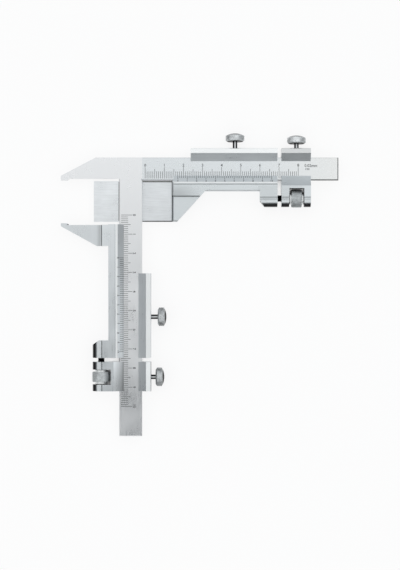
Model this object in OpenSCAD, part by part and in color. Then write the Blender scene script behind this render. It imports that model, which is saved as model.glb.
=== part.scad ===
// Gear tooth caliper: two graduated beams at right angles, each with a slider, a fine adjustment
// and clamps. The jaws take the thickness of a tooth, the tongue takes its height.
//
// The instrument lies on its back. X runs along the height beam, Y up the thickness beam and
// Z out of the scale face. The origin is on the measuring face of the fixed jaw, at its tip,
// in the middle plane of the beams.

/* [Beams] */
// Width of both beams
beam_w = 12; // [10:0.5:14]
// Thickness of both beams and of the jaws
beam_t = 3; // [2.4:0.1:3.6]
// Chamfer along the beams' edges
beam_chamfer = 0.4; // [0.1:0.05:0.5]
// Thickness beam, from the fixed jaw's measuring face to its free end
thickness_beam_len = 133.7; // [120:1:160]
// Height beam, from the thickness beam to its free end
height_beam_len = 102.7; // [98:1:120]

/* [Jaws] */
// Distance from the jaws' tips to the thickness beam
jaw_reach = 30.5; // [28:0.5:36]
// Length of the measuring land at each jaw's tip
land_len = 3.3; // [2:0.1:5]
// Depth of the relief behind the land
relief_depth = 0.9; // [0.4:0.1:1.2]
// Length of the slope from the land down to the relief
relief_ramp = 1.2; // [0.6:0.1:2]
// Height of the fixed jaw's blunt tip
fixed_tip_h = 2.4; // [1.6:0.1:3.2]
// Distance along the fixed jaw over which its back slopes up
fixed_slope_run = 18.2; // [14:0.1:22]
// Height of the moving jaw at its block
moving_jaw_h = 11.9; // [9:0.1:14]
// Height of the moving jaw's blunt tip
moving_tip_h = 1.6; // [1.4:0.1:2.4]
// Distance along the moving jaw over which its back slopes
moving_slope_run = 18.8; // [14:0.1:20]
// Width of the moving jaw's thick block beside the slider
jaw_block_w = 3.3; // [2:0.1:5]
// Radius of the fillet between the thin jaw and its block
jaw_fillet_r = 1.2; // [0.5:0.1:1.8]

/* [Readings as shown] */
// Tooth thickness that the jaws stand at
thickness_reading = 22.4; // [20:0.1:30]
// Tooth height that the tongue stands at
height_reading = 17.1; // [15:0.1:22]

/* [Slider sections] */
// Thickness of the sliders and clamps, front to back
slider_t = 9; // [8:0.1:10]
// Width of the flange outside the beam's graduated edge
vernier_flange_w = 5.5; // [4.6:0.1:6.5]
// Width of the flange outside the beam's other edge
lock_flange_w = 4.7; // [3.5:0.1:6]
// Reach of the vernier's thin edge over the beam
vernier_lip = 2.4; // [1.5:0.1:3]
// Reach of the other thin edge over the beam
lock_lip = 1.9; // [1:0.1:2.5]
// Thickness of both lips at their thin edge
lip_t = 0.25; // [0.15:0.05:0.4]
// Start of the sliders' vernier bevel, outside the beam's edge
slider_bevel_start = 1.2; // [0.5:0.1:3]
// Start of the clamps' bevel on the same side
clamp_bevel_start = 2.8; // [1:0.1:3.6]
// Start of the bevel on the other side, outside the beam's edge
lock_bevel_start = 2.1; // [1:0.1:3]
// Chamfer along the flanges' outer edges
flange_chamfer = 0.3; // [0.1:0.05:0.5]
// Clearance on each face that slides on a beam
slide_clear = 0.05; // [0.03:0.01:0.1]

/* [Thickness slider] */
// Jaw face to the start of the vernier flange
jaw_to_flange = 0.6; // [0.3:0.1:1]
// Jaw face to the start of the full channel, which stays below the tongue
jaw_to_channel = 26.2; // [25:0.1:32]
// Length of the full channel
thickness_slider_len = 44.1; // [40:0.1:50]
// Place of the locking screw, from the channel's start
thickness_screw_at = 22.7; // [18:0.1:26]

/* [Height slider and tongue] */
// Tongue's measuring edge to the start of the vernier flange
tongue_to_flange = 41.3; // [41:0.1:46]
// Start of the vernier flange to the start of the full channel
flange_to_channel = 9.5; // [7:0.1:12]
// Length of the full channel
height_slider_len = 45.3; // [40:0.1:50]
// Place of the locking screw, from the channel's start
height_screw_at = 23.2; // [18:0.1:26]
// Width of the tongue
tongue_w = 21.3; // [18:0.1:24]
// Distance from the fixed jaw's face line to the tongue
tongue_drop = 0.2; // [0.1:0.1:0.5]
// Thickness of the tongue
tongue_t = 2; // [1.5:0.1:2.4]
// Chamfer on the tongue's lower edge
tongue_chamfer = 0.5; // [0.2:0.1:0.8]
// Length of that chamfer, from the gusset towards the jaws
tongue_chamfer_len = 21.9; // [17:0.1:25]
// Width of the gusset at its foot
gusset_foot_w = 2.4; // [1.5:0.1:4]
// Width of the gusset where it meets the flange
gusset_head_w = 17.1; // [14:0.1:20]
// Height of the thick part of the gusset, below the beam
gusset_block_h = 8.1; // [7:0.1:12]
// Radius of the fillet below the thick part
gusset_fillet_r = 0.5; // [0.3:0.1:0.8]
// Chamfer on the gusset's upright edge and foot
gusset_chamfer = 0.6; // [0.2:0.1:0.8]

/* [Fine adjustments] */
// Distance from the beam's edge to the adjusting screw's axis
rod_offset = 9.4; // [9.2:0.1:10.5]
// Diameter of the adjusting screws
rod_d = 3.6; // [3:0.1:4]
// Distance from the adjusting screws' free ends to the clamps' outer faces
rod_end_inset = 0.5; // [0.2:0.1:1]
// Chamfer on those ends
rod_chamfer = 0.4; // [0.2:0.1:0.6]
// Length of the sliders' lugs
lug_len = 9.1; // [7:0.1:12]
// Wall of the lug behind the adjusting screw
lug_wall = 1; // [0.6:0.1:2]
// Length of the slanted corner on each slider's lug
lug_slant_len = 2.4; // [1:0.1:3]
// Depth of that slanted corner
lug_slant_depth = 3.2; // [1:0.1:4]
// Gap between a slider and its clamp
clamp_gap = 2.1; // [1.5:0.1:3]
// Length of a clamp along its beam
clamp_len = 15.3; // [14:0.1:18]
// Length of the window that holds the nut
window_len = 7.8; // [7:0.1:9]
// Distance of the window and the clamp's screw beyond the clamp's middle
window_shift = 0.3; // [0:0.1:0.6]
// Diameter of the nuts
nut_d = 9.4; // [8.6:0.1:9.8]
// Knurled width of the nuts
nut_knurl_w = 5.7; // [4.5:0.1:6.4]
// Diameter of the nuts' bosses at the knurl
nut_boss_d = 6.4; // [5.6:0.1:7.5]
// Diameter of the nuts' bosses at their ends
nut_end_d = 4.9; // [4.6:0.1:5.5]
// Chamfer on the nuts' knurled rims
nut_chamfer = 0.3; // [0.1:0.1:0.5]
// Gap between a nut and the inner side of its window
nut_clear = 0.5; // [0.3:0.1:0.8]
// Play of a nut along its window, at each end
nut_play = 0.05; // [0.02:0.01:0.1]
// Diameter of the pins that hold the adjusting screws in the lugs
pin_d = 1.2; // [0.8:0.1:1.5]
// Reach of the pins beyond the adjusting screws
pin_reach = 0.6; // [0.3:0.1:1]

/* [Locking screws] */
// Diameter of the screws
screw_d = 2.4; // [2:0.1:3]
// Diameter of their tips
screw_tip_d = 1.6; // [1.2:0.1:1.8]
// Diameter of their knurled heads
head_d = 9.9; // [9.8:0.1:11]
// Knurled width of the heads
head_rim_w = 2.4; // [1.8:0.1:3]
// Height of the heads' chamfer towards the slider
head_chamfer_h = 0.8; // [0.4:0.1:1.2]
// Width of that chamfer
head_chamfer_w = 1.1; // [0.6:0.1:1.6]
// Height of the heads' dome
head_dome_h = 1.3; // [0.8:0.1:1.8]
// Shank that shows between a slider and its screw's head
slider_neck = 3.5; // [2:0.1:5]
// Shank that shows between a clamp and its screw's head
clamp_neck = 2.4; // [1.5:0.1:4]

/* [Gibs] */
// Thickness of the spring strips between the screws and the beams
gib_t = 0.6; // [0.4:0.05:0.8]
// Width of the strips
gib_w = 2.8; // [2:0.1:2.9]
// Distance from each end of a strip to the end of its channel
gib_inset = 1; // [0.5:0.1:2]
// Depth of the seat that the screw's tip stands in
gib_seat = 0.3; // [0.2:0.05:0.35]

/* [Tongue screws] */
// Diameter of the screws that hold the tongue
tongue_screw_d = 2; // [1.6:0.1:2.2]
// Diameter of their countersunk heads
tongue_head_d = 3.6; // [3:0.1:3.8]
// Depth of their tips below the gusset's front face
tongue_screw_skin = 0.6; // [0.4:0.1:1]
// Distance of the screws from the sides of the tongue's seat
tongue_screw_inset = 3.4; // [2.6:0.1:4]
// Distance of the lowest screw above the tongue's lower edge
tongue_screw_rise = 5.4; // [4.8:0.1:7]

/* [Fits] */
// Radial clearance of the screws, the adjusting screws and the pins
fit_clear = 0.05; // [0.02:0.01:0.1]

/* [Hidden] */
$fn = 48;
EPS = 0.01;

// Depths, measured from the middle plane of the beams
half_t = slider_t / 2;
beam_half_t = beam_t / 2;
slot_half_t = beam_half_t + slide_clear;

// Widths, measured from each beam's graduated edge, positive into the beam
gib_near = beam_w + slide_clear;
gib_far = gib_near + gib_t;
slot_far = gib_far + slide_clear;
flange_far = beam_w + lock_flange_w;

// Places along the thickness beam, measured down from the fixed jaw's face
t_face = thickness_reading;
t_flange = t_face + jaw_to_flange;
t_channel = t_face + jaw_to_channel;
t_end = t_channel + thickness_slider_len;
t_clamp = t_end + clamp_gap;
t_screw = t_channel + thickness_screw_at;

// Places along the height beam, measured from the line through the jaws' tips
h_beam = jaw_reach + beam_w;
h_flange = height_reading + tongue_to_flange;
h_channel = h_flange + flange_to_channel;
h_end = h_channel + height_slider_len;
h_clamp = h_end + clamp_gap;
h_screw = h_channel + height_screw_at;

tongue_foot = tongue_drop + tongue_w;
tongue_end = h_channel - 2 * slide_clear;
gusset_slope = (tongue_foot - vernier_flange_w) / (gusset_head_w - gusset_foot_w);
dome_steps = 6;
window_at = clamp_len / 2 + window_shift;
window_edge = rod_offset - nut_d / 2 - nut_clear;

STEEL = "#d9dcde";
SATIN = "#c9cdd0";
KNURLED = "#a8abad";
BLACK = "#202224";
BRONZE = "#b08d57";

// Both beams are drawn along X with their graduated edge on the X axis.
module on_height_beam() {
  children();
}

module on_thickness_beam() {
  translate([jaw_reach, 0, 0]) rotate([0, 0, -90]) children();
}

// Draws a section of width and depth along the beam, from one place to another.
module along(from, to) {
  translate([from, 0, 0])
    rotate([90, 0, 90])
      linear_extrude(height = to - from) children();
}

// Draws an outline of place and width through the depth, from one height to another.
module plate(back, front) {
  translate([0, 0, back]) linear_extrude(height = front - back) children();
}

// A round bar across the beam's width, from one width to another.
module across(place, from, to, r) {
  translate([place, from, 0]) rotate([-90, 0, 0]) cylinder(h = to - from, r = r);
}

// A round bar along the beam on the adjusting screw's axis.
module on_rod_axis(from, to, r) {
  translate([from, -rod_offset, 0]) rotate([0, 90, 0]) cylinder(h = to - from, r = r);
}

// Cuts a chamfer up the left edge of a plate, below its front face.
module left_edge_cut(place, from, to, front, c) {
  translate([place, to, front]) rotate([90, 0, 0]) linear_extrude(height = to - from)
    polygon([[-EPS, -c - EPS], [c + EPS, EPS], [-EPS, EPS]]);
}

// Cuts a chamfer along the lower edge of a plate, below its front face.
module lower_edge_cut(from, to, edge, front, c) {
  translate([from, edge, front]) rotate([90, 0, 90]) linear_extrude(height = to - from)
    polygon([[-EPS, -c - EPS], [c + EPS, EPS], [-EPS, EPS]]);
}

function box_outline(x0, x1, y0, y1, c) = [
  [x0 + c, y0], [x1 - c, y0], [x1, y0 + c], [x1, y1 - c],
  [x1 - c, y1], [x0 + c, y1], [x0, y1 - c], [x0, y0 + c]
];

// Where the gusset's slanted side stands at a given distance below the beam, and the reverse.
function gusset_side(drop) = h_flange + gusset_foot_w + (tongue_foot - drop) / gusset_slope;
function gusset_drop(place) = tongue_foot - (place - h_flange - gusset_foot_w) * gusset_slope;

// A beam with chamfered long edges and a chamfered free end.
module beam_bar(from, to) {
  intersection() {
    along(from, to) polygon(box_outline(0, beam_w, -beam_half_t, beam_half_t, beam_chamfer));
    translate([0, beam_w, 0]) rotate([90, 0, 0]) linear_extrude(height = beam_w)
      polygon([
        [from, -beam_half_t], [to - beam_chamfer, -beam_half_t], [to, beam_chamfer - beam_half_t],
        [to, beam_half_t - beam_chamfer], [to - beam_chamfer, beam_half_t], [from, beam_half_t]
      ]);
  }
}

// The fixed jaw and the thickness beam are one piece.
module thickness_beam() {
  color(STEEL) {
    on_thickness_beam() beam_bar(-relief_depth, thickness_beam_len);
    plate(-beam_half_t, beam_half_t) polygon([
      [0, 0], [land_len, 0], [land_len + relief_ramp, relief_depth], [h_beam, relief_depth],
      [h_beam, beam_w], [fixed_slope_run, beam_w], [0, fixed_tip_h]
    ]);
  }
}

module height_beam() {
  color(SATIN) on_height_beam() beam_bar(h_beam, h_beam + height_beam_len);
}

// The channel that wraps a beam: graduated flange, back, locking flange and the two thin lips.
module channel(from, to, bevel_start) {
  lip_z = slot_half_t + lip_t;
  c = flange_chamfer;
  along(from, to) polygon([
    [-vernier_flange_w + c, -half_t], [-vernier_flange_w, c - half_t],
    [-vernier_flange_w, half_t - c], [-vernier_flange_w + c, half_t],
    [-bevel_start, half_t], [vernier_lip, lip_z], [vernier_lip, slot_half_t],
    [-slide_clear, slot_half_t], [-slide_clear, -slot_half_t],
    [slot_far, -slot_half_t], [slot_far, slot_half_t],
    [beam_w - lock_lip, slot_half_t], [beam_w - lock_lip, lip_z],
    [beam_w + lock_bevel_start, half_t], [flange_far - c, half_t], [flange_far, half_t - c],
    [flange_far, c - half_t], [flange_far - c, -half_t]
  ]);
}

// The graduated flange alone, where the slider has no back.
module vernier_flange(from, to, back) {
  c = flange_chamfer;
  along(from, to) polygon([
    [-vernier_flange_w, back], [-vernier_flange_w, half_t - c], [-vernier_flange_w + c, half_t],
    [-slider_bevel_start, half_t], [vernier_lip, slot_half_t + lip_t],
    [vernier_lip, slot_half_t], [-slide_clear, slot_half_t], [-slide_clear, back]
  ]);
}

// A round-ended lug that carries or clears the adjusting screw.
module lug(from, to) {
  on_rod_axis(from, to, half_t);
  translate([from, -rod_offset, -half_t])
    cube([to - from, rod_offset - vernier_flange_w + 2 * flange_chamfer, slider_t]);
}

// Takes the slanted corner off a slider's lug, on the side away from its clamp.
module lug_slant(from) {
  outer = -rod_offset - half_t;
  plate(-slider_t, slider_t) polygon([
    [from - lug_slant_len, outer + 2 * lug_slant_depth],
    [from + 2 * lug_slant_len, outer - lug_slant_depth],
    [from - lug_slant_len, outer - lug_slant_depth]
  ]);
}

// Holes of a slider: its locking screw, its adjusting screw and the pin that holds that screw.
module slider_holes(end, screw_at) {
  across(screw_at, slot_far - EPS, flange_far + EPS, screw_d / 2 + fit_clear);
  on_rod_axis(end - lug_len + lug_wall, end + EPS, rod_d / 2 + fit_clear);
  lug_pin(end, half_t + EPS, fit_clear);
}

module lug_pin(end, back, clear) {
  translate([end - lug_len / 2, -rod_offset, -back])
    cylinder(h = back + rod_d / 2 + pin_reach + clear, r = pin_d / 2 + clear);
}

// A concave fillet along the beam's width, falling from a step at X 0 towards lower X.
module step_fillet(width, r) {
  rotate([-90, 0, 0]) difference() {
    translate([-r, -r, 0]) cube([r + EPS, r + EPS, width]);
    translate([-r, -r, -EPS]) cylinder(h = width + 2 * EPS, r = r);
  }
}

// The moving jaw: a thin wedge, and the thick block that joins it to the slider.
module moving_jaw() {
  edge = -vernier_flange_w;
  block = edge - jaw_block_w;
  top = t_face + relief_depth;
  foot = t_face + moving_jaw_h;
  plate(-beam_half_t, beam_half_t) polygon([
    [t_face, -jaw_reach], [t_face, land_len - jaw_reach],
    [top, land_len + relief_ramp - jaw_reach], [top, edge + flange_chamfer],
    [foot, edge + flange_chamfer], [foot, moving_slope_run - jaw_reach],
    [t_face + moving_tip_h, -jaw_reach]
  ]);
  plate(-beam_half_t, half_t) polygon([
    [top, block], [top, edge + 2 * flange_chamfer], [foot, edge + 2 * flange_chamfer],
    [foot, block]
  ]);
  translate([foot, block, beam_half_t]) rotate([0, 0, 90])
    step_fillet(foot - top, jaw_fillet_r);
}

module thickness_slider() {
  color(SATIN) on_thickness_beam() difference() {
    union() {
      channel(t_channel, t_end, slider_bevel_start);
      vernier_flange(t_flange, t_channel + EPS, -beam_half_t);
      moving_jaw();
      lug(t_end - lug_len, t_end);
    }
    lug_slant(t_end - lug_len);
    slider_holes(t_end, t_screw);
  }
}

// The outline of the gusset, between two distances below the beam.
module gusset_outline(top, drop) {
  head = vernier_flange_w - flange_chamfer;
  polygon([
    [h_flange, -top], [h_flange, -drop], [gusset_side(drop), -drop],
    [gusset_side(head), -head], [gusset_side(head), -top]
  ]);
}

// The fillet below the thick part of the gusset.
module gusset_fillet() {
  side = gusset_side(gusset_block_h);
  intersection() {
    plate(0, half_t) gusset_outline(slide_clear, tongue_foot);
    translate([side, -gusset_block_h, beam_half_t]) rotate([0, 0, 90])
      step_fillet(side - h_flange - gusset_chamfer, gusset_fillet_r);
  }
}

// The gusset between the flange and the tongue, thick above and thin below.
module gusset() {
  foot_end = gusset_side(tongue_foot) + gusset_chamfer;
  difference() {
    union() {
      plate(-slot_half_t, beam_half_t) gusset_outline(slide_clear, tongue_foot);
      plate(-slot_half_t, half_t) gusset_outline(slider_bevel_start, gusset_block_h);
      gusset_fillet();
    }
    left_edge_cut(h_flange, -tongue_foot, -gusset_block_h, beam_half_t, gusset_chamfer);
    left_edge_cut(h_flange, -gusset_block_h - EPS, 0, half_t, gusset_chamfer);
    lower_edge_cut(h_flange - EPS, foot_end, -tongue_foot, beam_half_t, gusset_chamfer);
  }
}

module height_slider() {
  color(SATIN) on_height_beam() difference() {
    union() {
      channel(h_channel, h_end, slider_bevel_start);
      vernier_flange(h_flange + gusset_chamfer, h_channel + EPS, -slot_half_t);
      gusset();
      lug(h_end - lug_len, h_end);
    }
    lug_slant(h_end - lug_len);
    slider_holes(h_end, h_screw);
    tongue_holes(fit_clear);
  }
}

// Places of the screws that hold the tongue, as distances along and below the height beam.
function tongue_screw_places() = [
  [h_flange + tongue_screw_inset, -tongue_drop - tongue_screw_inset],
  [h_flange + tongue_screw_inset, tongue_screw_rise - tongue_foot],
  [tongue_end - tongue_screw_inset, -tongue_foot / 2]
];

// The screws themselves, or the room for them when a clearance is given.
module tongue_holes(clear) {
  back = -slot_half_t - tongue_t;
  tip = beam_half_t - tongue_screw_skin;
  head_h = (tongue_head_d - tongue_screw_d) / 2;
  for (p = tongue_screw_places()) translate([p[0], p[1], back]) {
    cylinder(h = tip - back + clear, r = tongue_screw_d / 2 + clear);
    translate([0, 0, clear > 0 ? -EPS : 0])
      cylinder(h = head_h, r1 = tongue_head_d / 2 + clear, r2 = tongue_screw_d / 2 + clear);
  }
}

module tongue() {
  color(STEEL) on_height_beam() difference() {
    plate(-slot_half_t - tongue_t, -slot_half_t) polygon([
      [height_reading, -tongue_drop], [height_reading, -tongue_foot],
      [gusset_side(tongue_foot), -tongue_foot], [tongue_end, -gusset_drop(tongue_end)],
      [tongue_end, -tongue_drop]
    ]);
    lower_edge_cut(h_flange - tongue_chamfer_len, gusset_side(tongue_foot) + tongue_chamfer,
      -tongue_foot, -slot_half_t, tongue_chamfer);
    tongue_holes(fit_clear);
  }
}

module tongue_screws() {
  color(KNURLED) on_height_beam() tongue_holes(0);
}

// The carrier that clamps to the beam and holds the nut in its window.
module clamp(from) {
  to = from + clamp_len;
  centre = from + window_at;
  color(SATIN) difference() {
    union() {
      channel(from, to, clamp_bevel_start);
      lug(from, to);
    }
    translate([centre - window_len / 2, -rod_offset - slider_t, -slider_t])
      cube([window_len, rod_offset + slider_t - window_edge, 2 * slider_t]);
    on_rod_axis(from - EPS, to + EPS, rod_d / 2 + fit_clear);
    across(centre, slot_far - EPS, flange_far + EPS, screw_d / 2 + fit_clear);
  }
}

module gib(from, to, seat_at) {
  color(BRONZE) difference() {
    translate([from + gib_inset, gib_near, -gib_w / 2])
      cube([to - from - 2 * gib_inset, gib_t, gib_w]);
    across(seat_at, gib_far - gib_seat, gib_far + EPS, screw_tip_d / 2 + 2 * fit_clear);
  }
}

// A screw fixed in the slider's lug, reaching through the nut and both ears of the clamp.
module adjusting_screw(end) {
  full = end + clamp_gap + clamp_len - rod_end_inset - rod_chamfer;
  color(BLACK) difference() {
    union() {
      on_rod_axis(end - lug_len + lug_wall + fit_clear, full, rod_d / 2);
      translate([full, -rod_offset, 0]) rotate([0, 90, 0])
        cylinder(h = rod_chamfer, r1 = rod_d / 2, r2 = rod_d / 2 - rod_chamfer);
    }
    lug_pin(end, half_t + EPS, fit_clear);
  }
}

module adjusting_screw_pin(end) {
  color(STEEL) lug_pin(end, half_t, 0);
}

module adjusting_nut(centre) {
  bore = rod_d / 2 + fit_clear;
  half = window_len / 2 - nut_play;
  knurl = nut_knurl_w / 2;
  rim = nut_d / 2;
  c = nut_chamfer;
  color(KNURLED) translate([centre, -rod_offset, 0]) rotate([0, 90, 0]) rotate_extrude()
    polygon([
      [bore, -half], [nut_end_d / 2, -half], [nut_boss_d / 2, -knurl], [rim - c, -knurl],
      [rim, c - knurl], [rim, knurl - c], [rim - c, knurl],
      [nut_boss_d / 2, knurl], [nut_end_d / 2, half], [bore, half]
    ]);
}

// A screw whose tip stands in the gib's seat and whose knurled head has a low dome.
module locking_screw(place, neck) {
  tip = gib_far - gib_seat + fit_clear;
  shoulder = slot_far + fit_clear;
  seat = flange_far + neck;
  rim = head_d / 2;
  edge = seat + head_chamfer_h;
  crown = edge + head_rim_w;
  dome_r = (rim * rim + head_dome_h * head_dome_h) / (2 * head_dome_h);
  half_angle = asin(rim / dome_r);
  dome = [for (i = [1 : dome_steps]) let (a = half_angle * (1 - i / dome_steps))
    [dome_r * sin(a), crown + head_dome_h - dome_r * (1 - cos(a))]];
  color(KNURLED) translate([place, 0, 0]) rotate([-90, 0, 0]) rotate_extrude()
    polygon(concat([
      [0, tip], [screw_tip_d / 2, tip], [screw_tip_d / 2, shoulder], [screw_d / 2, shoulder],
      [screw_d / 2, seat], [rim - head_chamfer_w, seat], [rim, edge], [rim, crown]
    ], dome));
}

module thickness_gib() on_thickness_beam() gib(t_channel, t_end, t_screw);
module thickness_locking_screw() on_thickness_beam() locking_screw(t_screw, slider_neck);
module thickness_adjusting_screw() on_thickness_beam() adjusting_screw(t_end);
module thickness_adjusting_screw_pin() on_thickness_beam() adjusting_screw_pin(t_end);
module thickness_clamp() on_thickness_beam() clamp(t_clamp);
module thickness_clamp_gib()
  on_thickness_beam() gib(t_clamp, t_clamp + clamp_len, t_clamp + window_at);
module thickness_clamp_screw()
  on_thickness_beam() locking_screw(t_clamp + window_at, clamp_neck);
module thickness_adjusting_nut() on_thickness_beam() adjusting_nut(t_clamp + window_at);

module height_gib() on_height_beam() gib(h_channel, h_end, h_screw);
module height_locking_screw() on_height_beam() locking_screw(h_screw, slider_neck);
module height_adjusting_screw() on_height_beam() adjusting_screw(h_end);
module height_adjusting_screw_pin() on_height_beam() adjusting_screw_pin(h_end);
module height_clamp() on_height_beam() clamp(h_clamp);
module height_clamp_gib()
  on_height_beam() gib(h_clamp, h_clamp + clamp_len, h_clamp + window_at);
module height_clamp_screw() on_height_beam() locking_screw(h_clamp + window_at, clamp_neck);
module height_adjusting_nut() on_height_beam() adjusting_nut(h_clamp + window_at);

thickness_beam();
height_beam();
thickness_slider();
thickness_gib();
thickness_locking_screw();
thickness_adjusting_screw();
thickness_adjusting_screw_pin();
thickness_clamp();
thickness_clamp_gib();
thickness_clamp_screw();
thickness_adjusting_nut();
height_slider();
tongue();
tongue_screws();
height_gib();
height_locking_screw();
height_adjusting_screw();
height_adjusting_screw_pin();
height_clamp();
height_clamp_gib();
height_clamp_screw();
height_adjusting_nut();
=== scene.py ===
"""Looks for a gear tooth caliper: graduations, knurled parts, threads, finishes and the studio.

Sizes are in metres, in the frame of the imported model. X runs along the height beam, Y up the
thickness beam, and Z out of the graduated face. Rail coordinates are X along a beam from the
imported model's origin, Y across it from its graduated edge, and the same Z.
"""

import math

import bmesh
import bpy
from bpy.props import FloatProperty, FloatVectorProperty, IntProperty, PointerProperty
from bpy.types import Operator, Panel, PropertyGroup
from mathutils import Matrix, Vector


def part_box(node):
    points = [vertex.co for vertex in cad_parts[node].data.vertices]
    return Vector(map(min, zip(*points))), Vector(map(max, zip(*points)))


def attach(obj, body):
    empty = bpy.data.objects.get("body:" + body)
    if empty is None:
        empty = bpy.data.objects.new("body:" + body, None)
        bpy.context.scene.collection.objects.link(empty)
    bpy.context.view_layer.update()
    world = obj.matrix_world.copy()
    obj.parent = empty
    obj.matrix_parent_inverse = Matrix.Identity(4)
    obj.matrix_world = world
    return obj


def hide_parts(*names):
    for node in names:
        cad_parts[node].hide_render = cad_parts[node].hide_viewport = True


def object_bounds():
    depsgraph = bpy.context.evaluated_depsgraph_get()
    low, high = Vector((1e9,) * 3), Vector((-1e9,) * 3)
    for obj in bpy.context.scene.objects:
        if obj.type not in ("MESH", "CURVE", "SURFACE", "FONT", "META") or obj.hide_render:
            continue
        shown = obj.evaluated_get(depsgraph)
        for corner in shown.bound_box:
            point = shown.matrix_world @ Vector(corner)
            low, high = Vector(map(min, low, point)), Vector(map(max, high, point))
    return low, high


bl_info = {
    "name": "Gear Tooth Caliper Looks",
    "version": (1, 0, 0),
    "blender": (4, 5, 0),
    "location": "View3D > Sidebar > Caliper",
    "description": "Adds scales, knurls, threads, finishes and a studio to a gear tooth caliper",
    "category": "Object",
}

MM = 0.001

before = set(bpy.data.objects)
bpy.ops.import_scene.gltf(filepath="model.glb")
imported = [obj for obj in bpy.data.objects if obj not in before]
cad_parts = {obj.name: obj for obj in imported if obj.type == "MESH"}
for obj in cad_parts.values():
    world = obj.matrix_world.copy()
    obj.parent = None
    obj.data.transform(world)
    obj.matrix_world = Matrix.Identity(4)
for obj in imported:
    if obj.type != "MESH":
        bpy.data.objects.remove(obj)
CAD_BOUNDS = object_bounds()


def linear(hex_colour):
    """The linear colour, with alpha, of an sRGB hex value such as "#d8dcde"."""
    parts = [int(hex_colour[i : i + 2], 16) / 255 for i in (1, 3, 5)]
    parts = [c / 12.92 if c <= 0.04045 else ((c + 0.055) / 1.055) ** 2.4 for c in parts]
    return (*parts, 1.0)


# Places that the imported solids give.
BEAM_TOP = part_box("height_beam")[1].z
BEAM_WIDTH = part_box("height_beam")[1].y
JAW_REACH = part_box("thickness_beam")[1].x - BEAM_WIDTH
SLIDER_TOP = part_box("height_slider")[1].z

# What lines and lands stay short of an edge.
EDGE_GAP = 0.05 * MM

# The way along each beam, away from the origin.
ALONG = {"height": Vector((1, 0, 0)), "thickness": Vector((0, -1, 0))}

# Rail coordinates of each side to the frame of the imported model.
RAILS = {
    "height": Matrix.Identity(4),
    "thickness": Matrix.Translation((JAW_REACH, 0, 0)) @ Matrix.Rotation(math.radians(-90), 4, "Z"),
}


class CaliperScale(PropertyGroup):
    """Sizes of the graduations, with distances across a beam from its graduated edge."""

    height_zero: FloatProperty(
        name="Height scale zero",
        description="Place of the height scale's zero mark along its beam",
        default=44.1 * MM,
        unit="LENGTH",
    )
    thickness_zero: FloatProperty(
        name="Thickness scale zero",
        description="Place of the thickness scale's zero mark along its beam",
        default=18.1 * MM,
        unit="LENGTH",
    )
    height_reading: FloatProperty(
        name="Height reading",
        description="Distance from the height scale's zero to the vernier's zero",
        default=17.1 * MM,
        unit="LENGTH",
    )
    thickness_reading: FloatProperty(
        name="Thickness reading",
        description="Distance from the thickness scale's zero to the vernier's zero",
        default=22.4 * MM,
        unit="LENGTH",
    )
    height_range: IntProperty(
        name="Height range", description="Last mark of the height scale, in millimetres", default=80
    )
    thickness_range: IntProperty(
        name="Thickness range",
        description="Last mark of the thickness scale, in millimetres",
        default=100,
    )
    mark_width: FloatProperty(
        name="Mark width", description="Width of an engraved mark", default=0.22 * MM, unit="LENGTH"
    )
    mark_start: FloatProperty(
        name="Mark start",
        description="Distance from the beam's edge to the marks",
        default=1.0 * MM,
        unit="LENGTH",
    )
    short_end: FloatProperty(
        name="Short marks' end",
        description="Where the marks of each millimetre end",
        default=4.7 * MM,
        unit="LENGTH",
    )
    middle_end: FloatProperty(
        name="Middle marks' end",
        description="Where the marks of each five millimetres end",
        default=6.0 * MM,
        unit="LENGTH",
    )
    long_end: FloatProperty(
        name="Long marks' end",
        description="Where the marks of each ten millimetres end",
        default=6.95 * MM,
        unit="LENGTH",
    )
    digit_place: FloatProperty(
        name="Digit place",
        description="Distance from the beam's edge to the middle of the digits",
        default=7.95 * MM,
        unit="LENGTH",
    )
    digit_height: FloatProperty(
        name="Digit height",
        description="Height of the beams' digits",
        default=1.5 * MM,
        unit="LENGTH",
    )
    engraving_depth: FloatProperty(
        name="Engraving depth",
        description="Depth of the filled marks below the surface",
        default=0.02 * MM,
        unit="LENGTH",
    )
    fill_rise: FloatProperty(
        name="Fill rise",
        description="Height of the filler above the surface",
        default=0.008 * MM,
        unit="LENGTH",
    )


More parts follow.
